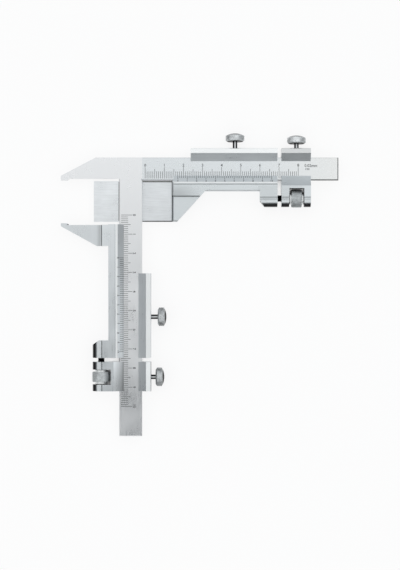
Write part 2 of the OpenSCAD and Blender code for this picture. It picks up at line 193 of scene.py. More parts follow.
class CaliperVernier(PropertyGroup):
    """Sizes of the vernier plates, with distances across a beam from its graduated edge."""

    division: FloatProperty(
        name="Division",
        description="Distance between two vernier marks",
        default=0.98 * MM,
        unit="LENGTH",
        precision=5,
    )
    divisions: IntProperty(
        name="Divisions", description="Number of divisions on each vernier", default=50
    )
    bevel_start: FloatProperty(
        name="Bevel start",
        description="Distance from the beam's edge outwards to the top of the vernier's bevel",
        default=1.2 * MM,
        unit="LENGTH",
    )
    lip_reach: FloatProperty(
        name="Lip reach",
        description="Reach of the vernier's thin edge over the beam",
        default=2.4 * MM,
        unit="LENGTH",
    )
    lip_top: FloatProperty(
        name="Lip top",
        description="Height of the thin edge's upper side above the beams' middle plane",
        default=1.8 * MM,
        unit="LENGTH",
    )
    short_start: FloatVectorProperty(
        name="Short marks' start",
        description="Start of the height and the thickness vernier's short marks, across the beam",
        subtype="TRANSLATION",
        size=2,
        default=(1.2 * MM, 0.45 * MM),
    )
    long_start: FloatVectorProperty(
        name="Long marks' start",
        description="Start of every fifth mark on the height and the thickness vernier",
        subtype="TRANSLATION",
        size=2,
        default=(0.3 * MM, 0.1 * MM),
    )
    digit_place: FloatVectorProperty(
        name="Digit place",
        description="Middle of the digits on the height and the thickness vernier",
        subtype="TRANSLATION",
        size=2,
        default=(-0.42 * MM, -0.5 * MM),
    )
    digit_height: FloatProperty(
        name="Digit height",
        description="Height of the vernier's digits",
        default=0.9 * MM,
        unit="LENGTH",
    )
    # The lands are strips of painted highlight.
    land_start: FloatProperty(
        name="Land start",
        description="Start of the polished land beside the bevel, outside the beam's edge",
        default=1.22 * MM,
        unit="LENGTH",
    )
    land_end: FloatProperty(
        name="Land end",
        description="End of the polished land, outside the beam's edge",
        default=1.55 * MM,
        unit="LENGTH",
    )
    land_slope: FloatVectorProperty(
        name="Land on the slope",
        description="Width of the polished land on the height and on the thickness bevel itself",
        subtype="TRANSLATION",
        size=2,
        default=(0.5 * MM, 0.85 * MM),
    )
    side_land_start: FloatProperty(
        name="Side land start",
        description="Start of the thickness slider's land beside its locking screw",
        default=14.14 * MM,
        unit="LENGTH",
    )
    side_land_end: FloatProperty(
        name="Side land end", description="End of that land", default=16.55 * MM, unit="LENGTH"
    )
    seam_place: FloatProperty(
        name="Seam place",
        description="Middle of the dark seam, outside the beam's edge",
        default=2.1 * MM,
        unit="LENGTH",
    )
    seam_width: FloatProperty(
        name="Seam width",
        description="Width of the dark seam along the height slider's land",
        default=0.3 * MM,
        unit="LENGTH",
    )
    lug_length: FloatProperty(
        name="Lug length",
        description="Length of the sliders' lugs",
        default=9.1 * MM,
        unit="LENGTH",
    )
    # The lug line is a dark filled line where the flank begins.
    lug_line_width: FloatProperty(
        name="Lug line width",
        description="Width of the scribed line along the lugs",
        default=0.32 * MM,
        unit="LENGTH",
    )
    lug_line_place: FloatProperty(
        name="Lug line place",
        description="Distance of that line from the adjusting screw's axis towards the beam",
        default=0.5 * MM,
        unit="LENGTH",
    )
    fine_seam_width: FloatProperty(
        name="Fine seam width",
        description="Width of the seam along the thickness slider's land",
        default=0.05 * MM,
        unit="LENGTH",
    )


class CaliperKnurl(PropertyGroup):
    """Sizes of the turned and knurled pieces."""

    head_teeth: IntProperty(
        name="Head teeth", description="Points of the diamond knurl round a head", default=30
    )
    head_groove: FloatProperty(
        name="Head groove",
        description="Depth of the heads' knurl",
        default=0.35 * MM,
        unit="LENGTH",
    )
    head_chamfer_height: FloatProperty(
        name="Head chamfer height",
        description="Height of a head's chamfer towards the slider",
        default=0.8 * MM,
        unit="LENGTH",
    )
    head_chamfer_width: FloatProperty(
        name="Head chamfer width",
        description="Width of that chamfer",
        default=1.1 * MM,
        unit="LENGTH",
    )
    head_rim: FloatProperty(
        name="Head rim", description="Knurled width of a head", default=2.4 * MM, unit="LENGTH"
    )
    head_dome: FloatProperty(
        name="Head dome", description="Height of a head's dome", default=1.3 * MM, unit="LENGTH"
    )
    screw_radius: FloatProperty(
        name="Screw radius",
        description="Radius of the locking screws",
        default=1.2 * MM,
        unit="LENGTH",
    )
    tip_radius: FloatProperty(
        name="Tip radius", description="Radius of their tips", default=0.8 * MM, unit="LENGTH"
    )
    tip_length: FloatProperty(
        name="Tip length", description="Length of their tips", default=0.35 * MM, unit="LENGTH"
    )
    nut_teeth: IntProperty(
        name="Nut teeth", description="Points of the diamond knurl round a nut", default=26
    )
    nut_groove: FloatProperty(
        name="Nut groove", description="Depth of the nuts' knurl", default=0.4 * MM, unit="LENGTH"
    )
    nut_rim: FloatProperty(
        name="Nut rim", description="Knurled width of a nut", default=5.3 * MM, unit="LENGTH"
    )
    nut_chamfer: FloatProperty(
        name="Nut chamfer", description="Chamfer of a nut's rims", default=0.3 * MM, unit="LENGTH"
    )
    boss_radius: FloatProperty(
        name="Boss radius",
        description="Radius of a nut's bosses at the knurl",
        default=3.2 * MM,
        unit="LENGTH",
    )
    boss_end_radius: FloatProperty(
        name="Boss end radius",
        description="Radius of a nut's bosses at their ends",
        default=2.45 * MM,
        unit="LENGTH",
    )
    bore_radius: FloatProperty(
        name="Bore radius", description="Radius of a nut's bore", default=1.85 * MM, unit="LENGTH"
    )
    thread_pitch: FloatProperty(
        name="Thread pitch",
        description="Pitch of the adjusting screws",
        default=0.5 * MM,
        unit="LENGTH",
    )
    thread_depth: FloatProperty(
        name="Thread depth", description="Depth of that thread", default=0.27 * MM, unit="LENGTH"
    )


class CaliperFinish(PropertyGroup):
    """Colours of the finishes, as linear values."""

    beam_chrome: FloatVectorProperty(
        name="Thickness beam chrome",
        description="Satin chrome of the thickness beam and its jaw",
        subtype="COLOR",
        size=4,
        default=linear("#e5e6e7"),
    )
    bar_chrome: FloatVectorProperty(
        name="Height beam chrome",
        description="Satin chrome of the height beam",
        subtype="COLOR",
        size=4,
        default=linear("#d8dcde"),
    )
    slider_chrome: FloatVectorProperty(
        name="Height slider chrome",
        description="Satin chrome of the height slider and its clamp",
        subtype="COLOR",
        size=4,
        default=linear("#d3d8da"),
    )
    thickness_slider_chrome: FloatVectorProperty(
        name="Thickness slider chrome",
        description="Satin chrome of the thickness slider and its clamp",
        subtype="COLOR",
        size=4,
        default=linear("#dee2e4"),
    )
    # Painted highlight: the lands beside the verniers and the locking screws, and the nuts' bosses.
    painted_highlight_chrome: FloatVectorProperty(
        name="Lapped chrome",
        description="Bright chrome of the lands along the sliders' edges",
        subtype="COLOR",
        size=4,
        default=linear("#eef0f0"),
    )
    tongue_steel: FloatVectorProperty(
        name="Tongue steel",
        description="Ground steel of the tongue",
        subtype="COLOR",
        size=4,
        default=linear("#dadddf"),
    )
    knurled_nickel: FloatVectorProperty(
        name="Knurled nickel",
        description="Nickel plate of the knurled pieces",
        subtype="COLOR",
        size=4,
        default=linear("#b7bbbc"),
    )
    handled_nickel: FloatVectorProperty(
        name="Handled nickel",
        description="Nickel plate of the screws' heads",
        subtype="COLOR",
        size=4,
        default=linear("#cfd2d3"),
    )
    turned_steel: FloatVectorProperty(
        name="Turned steel",
        description="Bright steel of the pins and small screws",
        subtype="COLOR",
        size=4,
        default=linear("#c4c6c7"),
    )
    # Also the painted shade on the lugs' flanks, in the windows, and on the screws' necks and
    # heads.
    black_oxide_and_shade: FloatVectorProperty(
        name="Black oxide",
        description="Black oxide of the adjusting screws and of the lugs' flanks",
        subtype="COLOR",
        size=4,
        default=linear("#101113"),
    )
    bronze: FloatVectorProperty(
        name="Phosphor bronze",
        description="Rolled bronze of the spring strips",
        subtype="COLOR",
        size=4,
        default=linear("#c99a62"),
    )
    step_shade: FloatVectorProperty(
        name="Step shade",
        description="Colour of the dark lines at the foot of the steps",
        subtype="COLOR",
        size=4,
        default=linear("#1c1e1f"),
    )
    filler: FloatVectorProperty(
        name="Engraving filler",
        description="Enamel in the engraved marks",
        subtype="COLOR",
        size=4,
        default=linear("#33373a"),
    )


class CaliperStudio(PropertyGroup):
    """The floor, the softboxes, the room's light and the camera."""

    view_centre: FloatVectorProperty(
        name="View centre",
        description="Point of the beams' face in the middle of the picture",
        subtype="TRANSLATION",
        size=3,
        default=(72.77 * MM, -54.68 * MM, 1.5 * MM),
    )
    view_height: FloatProperty(
        name="View height",
        description="Height of the picture at the beams' face",
        default=297.96 * MM,
        unit="LENGTH",
    )
    lens: FloatProperty(
        name="Lens", description="Focal length in millimetres", default=100.0, unit="CAMERA"
    )
    sensor: FloatProperty(
        name="Sensor",
        description="Height of the sensor in millimetres",
        default=36.0,
        unit="CAMERA",
    )
    lamp_height: FloatProperty(
        name="Lamp height", description="Height of the four softboxes", default=1.2, unit="LENGTH"
    )
    lamp_low: FloatVectorProperty(
        name="Lamps' lower left",
        description="Outer corner of the softboxes at the lower left, from the view's centre",
        subtype="TRANSLATION",
        size=2,
        default=(-1.88, -1.92),
    )
    lamp_high: FloatVectorProperty(
        name="Lamps' upper right",
        description="Outer corner of the softboxes at the upper right, from the view's centre",
        subtype="TRANSLATION",
        size=2,
        default=(1.45, 1.5),
    )
    gap: FloatProperty(
        name="Gap",
        description="Half the side of the square gap that the softboxes leave for the camera",
        default=0.22,
        unit="LENGTH",
    )
    gap_place: FloatVectorProperty(
        name="Gap place",
        description="Middle of that gap, measured from the view's centre",
        subtype="TRANSLATION",
        size=2,
        default=(-0.09, -0.2),
    )
    lamp_level: FloatProperty(
        name="Lamp level", description="Brightness of the softboxes, where 1 is white", default=1.27
    )
    room_dark: FloatProperty(
        name="Room dark side",
        description="Brightness of the room at the bottom of the picture",
        default=0.22,
    )
    room_light: FloatProperty(
        name="Room light side",
        description="Brightness of the room at the top of the picture",
        default=0.82,
    )
    room_colour: FloatVectorProperty(
        name="Room colour",
        description="Tint of the room's light",
        subtype="COLOR",
        size=4,
        default=linear("#f9fcff"),
    )
    ceiling_colour: FloatVectorProperty(
        name="Ceiling colour",
        description="Tint of the ceiling",
        subtype="COLOR",
        size=4,
        default=linear("#eef9ff"),
    )
    ceiling: FloatProperty(
        name="Ceiling", description="Brightness of the ceiling over the softboxes", default=0.15
    )
    floor_radius: FloatProperty(
        name="Floor radius", description="Radius of the floor", default=6.0, unit="LENGTH"
    )
    floor_white: FloatProperty(
        name="Floor white",
        description="Share of plain white in the floor's colour to the eye",
        default=0.85,
    )


class CaliperSettings(PropertyGroup):
    """All settings of the caliper's looks."""

    scale: PointerProperty(type=CaliperScale, name="Scales", description="Sizes of the graduations")
    vernier: PointerProperty(
        type=CaliperVernier, name="Verniers", description="Sizes of the verniers"
    )
    knurl: PointerProperty(
        type=CaliperKnurl, name="Knurled pieces", description="Sizes of turned pieces"
    )
    finish: PointerProperty(
        type=CaliperFinish, name="Finishes", description="Colours of the finishes"
    )
    studio: PointerProperty(
        type=CaliperStudio, name="Studio", description="Floor, lights and camera"
    )


# Materials ---------------------------------------------------------------------------------------


def add_node(tree, kind, sockets=None, **settings):
    """Adds a node with its settings. A socket takes a value, or a link from another node."""
    node = tree.nodes.new(kind)
    for name, value in settings.items():
        setattr(node, name, value)
    for socket, value in (sockets or {}).items():
        if isinstance(value, bpy.types.NodeSocket):
            tree.links.new(value, node.inputs[socket])
        else:
            node.inputs[socket].default_value = value
    return node


def new_material(name):
    """An empty material, with its node tree and its shader."""
    material = bpy.data.materials.new(name)
    material.use_nodes = True
    tree = material.node_tree
    tree.nodes.clear()
    shader = add_node(tree, "ShaderNodeBsdfPrincipled")
    add_node(tree, "ShaderNodeOutputMaterial", {"Surface": shader.outputs["BSDF"]})
    return material, tree, shader


def shade(ramp, colour, spread):
    """Runs a ramp from a darker to a lighter shade of a colour."""
    for element, position, share in zip(ramp.elements, (0.35, 0.65), (1 - spread, 1 + spread)):
        element.position = position
        element.color = (*(min(1.0, c * share) for c in colour[:3]), 1.0)


def metal(name, colour, roughness, grain, spread=0.03, cloud=15, depth=0.001):
    """A metal with a grain whose size is given along X, Y and Z, with clouds, and with scratches of
    that depth, all in millimetres. Its shades lie that spread from its colour, and its roughness
    wanders with them."""
    material, tree, shader = new_material(name)
    shader.inputs["Metallic"].default_value = 1.0
    wander = 0.05
    place = add_node(tree, "ShaderNodeTexCoord").outputs["Object"]
    lay = add_node(
        tree,
        "ShaderNodeMapping",
        {"Scale": tuple(1 / (g * MM) for g in grain), "Vector": place},
    )
    streaks = add_node(
        tree,
        "ShaderNodeTexNoise",
        {"Scale": 1.0, "Detail": 3.0, "Roughness": 0.6, "Vector": lay.outputs["Vector"]},
    )
    clouds = add_node(
        tree, "ShaderNodeTexNoise", {"Scale": 1 / (cloud * MM), "Detail": 2.0, "Vector": place}
    )
    both = add_node(
        tree,
        "ShaderNodeMix",
        {"Factor": 0.5, "A": streaks.outputs["Fac"], "B": clouds.outputs["Fac"]},
        data_type="FLOAT",
    ).outputs["Result"]
    tone = add_node(tree, "ShaderNodeValToRGB", {"Fac": both})
    shade(tone.color_ramp, colour, spread)
    tree.links.new(tone.outputs["Color"], shader.inputs["Base Color"])
    polish = add_node(
        tree,
        "ShaderNodeMapRange",
        {
            "From Min": 0.3,
            "From Max": 0.7,
            "To Min": roughness - wander,
            "To Max": roughness + wander,
            "Value": both,
        },
    )
    tree.links.new(polish.outputs["Result"], shader.inputs["Roughness"])
    scratches = add_node(
        tree,
        "ShaderNodeBump",
        {"Strength": 1.0, "Distance": depth * MM, "Height": streaks.outputs["Fac"]},
    )
    tree.links.new(scratches.outputs["Normal"], shader.inputs["Normal"])
    return material


def past(direction, start, full=None):
    """The limit that a point lies past a distance in millimetres along a direction. With a second
    distance the limit comes in softly between the two."""
    return "Object", direction, start * MM, (start if full is None else full) * MM


def leaning(direction, start, full):
    """The limit that a surface leans to a direction, coming in between two shares of that lean."""
    return "Normal", direction, start, full


def tint(material, blend, colour, *limits):
    """Blends a colour into a metal where all limits hold."""
    tree = material.node_tree
    shader = next(n for n in tree.nodes if n.type == "BSDF_PRINCIPLED")
    coordinates = add_node(tree, "ShaderNodeTexCoord")
    # The least width of a limit, because a range without any width gives nothing.
    hair = 0.01 * MM
    amount = None
    for source, direction, start, full in limits:
        reach = add_node(
            tree,
            "ShaderNodeVectorMath",
            {0: coordinates.outputs[source], 1: direction},
            operation="DOT_PRODUCT",
        )
        share = add_node(
            tree,
            "ShaderNodeMapRange",
            {"From Min": start, "From Max": full + hair, "Value": reach.outputs["Value"]},
        ).outputs["Result"]
        if amount:
            share = add_node(
                tree, "ShaderNodeMath", {0: amount, 1: share}, operation="MULTIPLY"
            ).outputs["Value"]
        amount = share
    ground = shader.inputs["Base Color"].links[0].from_socket
    mixed = add_node(
        tree,
        "ShaderNodeMix",
        {"Factor": amount, "A": ground, "B": colour},
        data_type="RGBA",
        blend_type=blend,
    )
    tree.links.new(mixed.outputs["Result"], shader.inputs["Base Color"])


def dull(material, tone, *limits):
    """Brings a metal down to that share of its tone where all limits hold."""
    tint(material, "MULTIPLY", (tone, tone, tone, 1.0), *limits)


def brighten(material, tone, *limits):
    """Raises a metal by a grey tone where all limits hold."""
    tint(material, "ADD", (tone, tone, tone, 1.0), *limits)


def finishes():
    """The materials by their short names. Each is made once."""
    made = {m["caliper_finish"]: m for m in bpy.data.materials if m.get("caliper_finish")}
    if made:
        return made
    f = settings().finish
    black = tuple(f.black_oxide_and_shade)
    right, left, up, down = (1, 0, 0), (-1, 0, 0), (0, 1, 0), (0, -1, 0)
    front, back = (0, 0, 1), (0, 0, -1)
    # Hard chrome, satin ground along the beam: a pale, even sheen with faint long streaks. The real
    # grain is some 0.02 mm wide, drawn 0.3 mm wide so that it shows at all.
    beam = metal("satin_chrome_beam", f.beam_chrome, 0.30, (0.3, 9, 9), 0.012)
    bar = metal("satin_chrome_bar", f.bar_chrome, 0.28, (9, 0.3, 9))
    # The height beam is warmer and paler towards its end, the thickness beam halfway down.
    tint(bar, "ADD", (0.07, 0.045, 0.02, 1.0), past(right, 100, 150))
    brighten(beam, 0.08, past(down, 45, 60), past(up, -112, -94))
    # The sliders' chrome is a shade duller, because they are fly-cut across and not ground.
    height = metal("satin_chrome_height_slider", f.slider_chrome, 0.30, (12, 0.35, 6))
    thickness = metal(
        "satin_chrome_thickness_slider", f.thickness_slider_chrome, 0.30, (0.35, 12, 6)
    )
    # The lugs' half-round flanks are painted as shade: grey as they begin to turn away, darker grey
    # further round, and black at the outside. Each row: the way the flank faces, the lug's edge,
    # the way along the beam and where the lugs begin, then the tone of the grey and the lean past
    # which it sets in.
    for material, out, edge, along, first, tone, turn in (
        (height, down, 9.6, right, 100, 0.92, 0.54),
        (thickness, left, -20.9, down, 80, 0.72, 0.46),
    ):
        lug = past(out, edge), past(along, first)
        dull(material, tone, *lug, leaning(out, 0.05, 0.15))
        dull(material, 0.42, *lug, leaning(out, turn, turn + 0.05))
        tint(material, "MIX", black, *lug, leaning(out, turn + 0.13, turn + 0.17))
    # The height slider's land beside the locking screw is painted bright as a highlight.
    tint(height, "MIX", tuple(f.painted_highlight_chrome), past(up, 14.08))
    # The clamp's bevels are painted with shade: darker towards the lower right, and the one beside
    # the locking screw darker than the slider's.
    clamp = past(right, 114)
    dull(height, 0.74, clamp, past(up, 9), leaning(down, 0.4, 0.5))
    dull(height, 0.75, clamp, past(up, 14))
    dull(height, 0.84, clamp, past(up, 2.2, -2.6), leaning(up, 0.3, 0.4))
    # The height side's lug and the clamp's plate round the window are a little duller.
    dull(height, 0.92, past(right, 103), past(left, -127, -126), past(down, 2.9), past(up, -9.7))
    # Painted shade: the flange darkens softly towards the gusset's corner.
    dull(height, 0.74, past(left, -74, -62), past(down, 1.5, 6.4), past(front, 4.3, 4.4))
    # The thickness slider's own bevel is painted with shade and highlight: dark at the jaw and
    # along its thin edge, and pale further down.
    clamp = past(down, 94)
    slope = leaning(right, 0.3, 0.4)
    brighten(thickness, 0.2, past(down, 44, 70), slope)
    dull(thickness, 0.81, past(up, -60, -30), slope)
    dull(thickness, 0.80, past(right, 31.7, 32.7), past(down, 42, 50), slope)
    dull(thickness, 0.45, clamp, past(right, 27.7, 33), slope)
    dull(thickness, 0.60, clamp, past(down, 95, 108), slope)
    # Painted shade makes the bevels beside the locking screws a little duller, the clamp's more so.
    screw_bevel = past(right, 40), leaning(left, 0.4, 0.5)
    dull(thickness, 0.92, *screw_bevel)
    dull(thickness, 0.90, clamp, *screw_bevel)
    # The jaw is duller than the body, and painted shade darkens it softly into the step beside it.
    plate, jaw = past(back, -4.2, -4.1), past(up, -45)
    dull(thickness, 0.93, plate, jaw)
    dull(thickness, 0.5, plate, past(right, 18.6, 21.8), jaw, leaning(front, 0.9, 0.95))
    dull(thickness, 0.15, past(right, 21.1, 21.3), past(left, -21.79), plate, jaw)
    # A dark line of painted shade runs along the foot of the gusset's thick part.
    dull(height, 0.4, past(left, -72.7, -72.6), past(down, 8.12), past(up, -8.7, -8.5))
    # The windows round the nuts are painted black inside as shade, but for the thickness clamp's
    # wall
    # behind its nut. Each row: the way along the beam, the window's middle along it, the way out of
    # the window, where it begins, and the least lean that turns black.
    for material, axis, middle, along, across, least in (
        (height, right, 123.25, down, -2.0, -1.5),
        (thickness, down, 102.75, left, -28.4, -0.5),
    ):
        tint(
            material,
            "MIX",
            black,
            past(axis, middle - 4.2, middle - 4.1),
            past(axis, middle + 4.2, middle + 4.1),
            past(along, across - 0.1, across),
            leaning(tuple(-c for c in along), least, least + 0.1),
            leaning(front, 0.4, 0.3),
            leaning(back, 0.4, 0.3),
        )
    # Surface-ground steel: the grinding wheel's fine lines run the length of the tongue, and the
    # sheen is mottled in patches of a few millimetres. It is paler at its free end.
    tongue = metal("surface_ground_steel", f.tongue_steel, 0.30, (7, 0.8, 4), 0.08, 9, 0.0008)
    brighten(tongue, 0.06, past(left, -40, -28))
    # Bright turned steel: clean, with the tool's rings.
    turned = metal("turned_bright_steel", f.turned_steel, 0.25, (0.3, 0.3, 0.3), 0.04)
    # Nickel plate on a knurl: soft and grey between the teeth, bright on their crests.
    knurled = metal("knurled_nickel_plate", f.knurled_nickel, 0.60, (0.6, 0.6, 0.6), 0.30, 2)
    # The same plate on the screws' heads, brighter because fingers polish it. Their domes are
    # painted
    # with shade: grey on the height screws, nearly black on the thickness screws.
    head = metal("handled_nickel_plate", f.handled_nickel, 0.52, (0.6, 0.6, 0.6), 0.35, 2)
    thickness_side = past(left, -60)
    dull(head, 0.42, past(right, 80), leaning(up, 0.78, 0.86))
    dull(head, 0.05, thickness_side, leaning(right, 0.875, 0.895))
    # Painted light and shade: the thickness nut is painted paler than the other, the thickness
    # screws' heads duller, and the height clamp's head paler.
    brighten(knurled, 0.09, thickness_side)
    dull(head, 0.84, thickness_side)
    brighten(head, 0.06, past(right, 110))
    # Black oxide, oiled: nearly black with a low sheen, browner where it is thin.
    oxide = metal("oiled_black_oxide", f.black_oxide_and_shade, 0.32, (0.5, 0.5, 0.5), 0.35, 3)
    # Rolled phosphor bronze: warm, with the mill's lines along the strip.
    bronze = metal("rolled_phosphor_bronze", f.bronze, 0.30, (4, 4, 0.2), 0.08, 4)
    # Matt enamel in the engraving: dark grey and uneven, because it is wiped off flush.
    filler, tree, shader = new_material("wiped_engraving_enamel")
    place = add_node(tree, "ShaderNodeTexCoord").outputs["Object"]
    uneven = add_node(
        tree, "ShaderNodeTexNoise", {"Scale": 1 / (1.5 * MM), "Detail": 3.0, "Vector": place}
    )
    tone = add_node(tree, "ShaderNodeValToRGB", {"Fac": uneven.outputs["Fac"]})
    shade(tone.color_ramp, f.filler, 0.35)
    tree.links.new(tone.outputs["Color"], shader.inputs["Base Color"])
    shader.inputs["Roughness"].default_value = 0.6
    # The lands beside the verniers and the locking screws, and the nuts' bosses, are a painted
    # highlight: a bright, even matt that takes the full light.
    land = metal("lapped_chrome_land", f.painted_highlight_chrome, 0.5, (9, 9, 9), 0.01)
    # The thickness slider's is duller beside its locking screw and paler beside its vernier.
    dull(land, 0.92, past(right, 44), thickness_side, past(up, -94))
    brighten(land, 0.07, past(left, -35))
    # The screws' necks are painted black as shade, with a painted highlight along the front.
    neck = metal("worn_black_neck", f.turned_steel, 0.30, (0.5, 0.5, 0.5), 0.1)
    tint(neck, "MIX", black, leaning(front, 0.975, 0.93))
    # Painted shade at the foot of a step: a soft dark line without a sheen.
    step, tree, shader = new_material("settled_oil_line")
    shader.inputs["Base Color"].default_value = f.step_shade
    shader.inputs["Roughness"].default_value = 0.8
    shader.inputs["Specular IOR Level"].default_value = 0.2
    made = {
        "beam": beam,
        "bar": bar,
        "height_slider": height,
        "thickness_slider": thickness,
        "tongue": tongue,
        "turned": turned,
        "knurled": knurled,
        "head": head,
        "oxide": oxide,
        "bronze": bronze,
        "filler": filler,
        "land": land,
        "neck": neck,
        "step": step,
    }
    for name, material in made.items():
        material["caliper_finish"] = name
    return made


# Shapes ------------------------------------------------------------------------------------------


def add_object(name, data):
    """Adds an object to the scene."""
    added = bpy.data.objects.new(name, data)
    bpy.context.scene.collection.objects.link(added)
    return added


def make_mesh(name, bm):
    """Makes a bmesh a mesh, and frees it."""
    mesh = bpy.data.meshes.new(name)
    bm.to_mesh(mesh)
    bm.free()
    return mesh


def add_piece(name, bm, plates, body, replaced=(), smooth_angle=0.0):
    """Makes a bmesh an object that rides on a body. Its finishes are named in the slots' order."""
    bmesh.ops.recalc_face_normals(bm, faces=bm.faces)
    mesh = make_mesh(name, bm)
    for plate in plates.split():
        mesh.materials.append(finishes()[plate])
    if smooth_angle:
        for face in mesh.polygons:
            face.use_smooth = True
        mesh.set_sharp_from_angle(angle=smooth_angle)
    piece = add_object(name, mesh)
    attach(piece, body)
    if replaced:
        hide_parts(*replaced)


def about(middle, width):
    """The span of that width round a middle."""
    return middle - width / 2, middle + width / 2


def inside(start, end):
    """The span between two edges that stays just short of both."""
    return start + EDGE_GAP, end - EDGE_GAP


def engraved(face):
    """The span in height of a filled mark, from inside a face to just above it."""
    s = settings().scale
    return face - s.engraving_depth, face + s.fill_rise


def add_bar(bm, place, *spans):
    """Adds a bar that reaches over these spans along X, Y and Z of its place."""
    middle = Matrix.Translation([(start + end) / 2 for start, end in spans])
    size = Matrix.Diagonal([*(end - start for start, end in spans), 1])
    bmesh.ops.create_cube(bm, size=1, matrix=place @ middle @ size)


def add_words(bm, place, words, along, across, height, depth):
    """Adds words cut as solid letters of that height, with their middle at along and across."""
    curve = bpy.data.curves.new("words", "FONT")
    curve.body = words
    # The letters' rounds have few corners, and the offset makes them a little bolder.
    curve.extrude = 0.5
    curve.resolution_u = 3
    curve.offset = 0.015
    source = bpy.data.objects.new("words", curve)
    mesh = bpy.data.meshes.new_from_object(source)
    low = Vector([min(v.co[i] for v in mesh.vertices) for i in range(3)])
    high = Vector([max(v.co[i] for v in mesh.vertices) for i in range(3)])
    scale = height / (high.y - low.y)
    thickness = (depth[1] - depth[0]) / (high.z - low.z)
    mesh.transform(
        place
        @ Matrix.Translation((along, across, (depth[0] + depth[1]) / 2))
        @ Matrix.Diagonal((scale, scale, thickness, 1))
        @ Matrix.Translation(-(low + high) / 2)
    )
    bm.from_mesh(mesh)
    bpy.data.objects.remove(source)
    bpy.data.curves.remove(curve)
    bpy.data.meshes.remove(mesh)


def add_turning(bm, place, stations, teeth, hollow=False):
    """Adds a turned piece about local Z. Each station is its height, radius, groove depth, whether
    its teeth stand half a step round, and the material slot of the band that ends there. The ends
    are closed, or bridged as a bore."""

    def shape(ring, height, radius, groove=0, shifted=0):
        step = math.pi / teeth
        for vert in ring:
            index = round(math.atan2(vert.co.y, vert.co.x) / step)
            r = radius - (groove if (index + shifted) % 2 else 0.0)
            vert.co = (r * math.cos(index * step), r * math.sin(index * step), height)

    ring = bmesh.ops.create_circle(bm, cap_ends=False, radius=1, segments=2 * teeth)["verts"]
    shape(ring, *stations[0][:4])
    made = list(ring)
    first = edges = list(dict.fromkeys(e for v in ring for e in v.link_edges))
    for station in stations[1:]:
        grown = bmesh.ops.extrude_edge_only(bm, edges=edges)["geom"]
        ring = only(grown, bmesh.types.BMVert)
        edges = [e for e in only(grown, bmesh.types.BMEdge) if all(v in ring for v in e.verts)]
        for face in only(grown, bmesh.types.BMFace):
            face.material_index = station[4] if len(station) > 4 else 0
        shape(ring, *station[:4])
        made += ring
    if hollow:
        bmesh.ops.bridge_loops(bm, edges=first + edges)
    else:
        bmesh.ops.holes_fill(bm, edges=first, sides=0)
        bmesh.ops.holes_fill(bm, edges=edges, sides=0)
    bmesh.ops.transform(bm, matrix=place, verts=made)


def only(geometry, kind):
    """What is of one kind among the vertices, edges and faces that an operator gives back."""
    return [g for g in geometry if isinstance(g, kind)]


def cut_through(bm, point, normal, clear_outer=False):
    """Cuts a bmesh along a plane, and gives back the edges on it."""
    cut = bmesh.ops.bisect_plane(
        bm,
        geom=bm.verts[:] + bm.edges[:] + bm.faces[:],
        dist=0.0001 * MM,
        plane_co=point,
        plane_no=normal,
        clear_outer=clear_outer,
    )
    return only(cut["geom_cut"], bmesh.types.BMEdge)


def facing(origin, direction):
    """The placing that turns local Z to a direction at an origin."""
    turn = Vector(direction).to_track_quat("Z", "Y").to_matrix().to_4x4()
    return Matrix.Translation(origin) @ turn


def settings():
    """The caliper's settings in this scene."""
    return bpy.context.scene.caliper


# Pieces ------------------------------------------------------------------------------------------


def beam_scale(side, zero, last):
    """The marks and numbers of one beam's scale."""
    s = settings().scale
    bm = bmesh.new()
    rail, depth = RAILS[side], engraved(BEAM_TOP)
    for mark in range(last + 1):
        end = s.long_end if mark % 10 == 0 else s.middle_end if mark % 5 == 0 else s.short_end
        along = zero + mark * MM
        add_bar(bm, rail, about(along, s.mark_width), (s.mark_start, end), depth)
        if mark % 10 == 0:
            add_words(bm, rail, str(mark // 10), along, s.digit_place, s.digit_height, depth)
    return bm


class CALIPER_OT_beam_scales(Operator):
    """Engraves the millimetre scales of both beams and the unit beside the height scale"""

    bl_idname = "caliper.beam_scales"
    bl_label = "Beam scales"

    def execute(self, context):
        s = settings().scale
        bm = beam_scale("height", s.height_zero, s.height_range)
        # The vernier's step and its fraction, past the last mark and clear of the clamp. Each has
        # its place along and across the beam and its height, in millimetres.
        for words, *measures in (("0.02mm", 130.7, 7.75, 1.5), ("1/50", 128.9, 5.9, 1.0)):
            add_words(bm, RAILS["height"], words, *(m * MM for m in measures), engraved(BEAM_TOP))
        add_piece("height_beam_scale", bm, "filler", "frame")
        bm = beam_scale("thickness", s.thickness_zero, s.thickness_range)
        add_piece("thickness_beam_scale", bm, "filler", "frame")
        return {"FINISHED"}


def bevel_place(side):
    """The place of a vernier's bevel, with X along the beam and Y down the slope from its top, and
    how much a distance across the beam shrinks against one on the slope."""
    v = settings().vernier
    slope = math.atan2(SLIDER_TOP - v.lip_top, v.bevel_start + v.lip_reach)
    top = Matrix.Translation((0, -v.bevel_start, SLIDER_TOP))
    return RAILS[side] @ top @ Matrix.Rotation(-slope, 4, "X"), math.cos(slope)


def vernier_scale(side, zero):
    """The marks and numbers on one vernier's bevel."""
    v, s = settings().vernier, settings().scale
    which = ("height", "thickness").index(side)
    short_start, long_start, digits = (
        places[which] for places in (v.short_start, v.long_start, v.digit_place)
    )
    bm = bmesh.new()
    place, shrink = bevel_place(side)

    def down(across):
        return (across + v.bevel_start) / shrink

    # The marks stop just short of the bevel's thin edge.
    end = down(v.lip_reach) - EDGE_GAP
    for mark in range(v.divisions + 1):
        start = down(long_start if mark % 5 == 0 else short_start)
        along = zero + mark * v.division
        add_bar(bm, place, about(along, s.mark_width), (start, end), engraved(0))
        if mark % 5 == 0:
            height = v.digit_height / shrink
            add_words(bm, place, str(mark // 5), along, down(digits), height, engraved(0))
    return bm


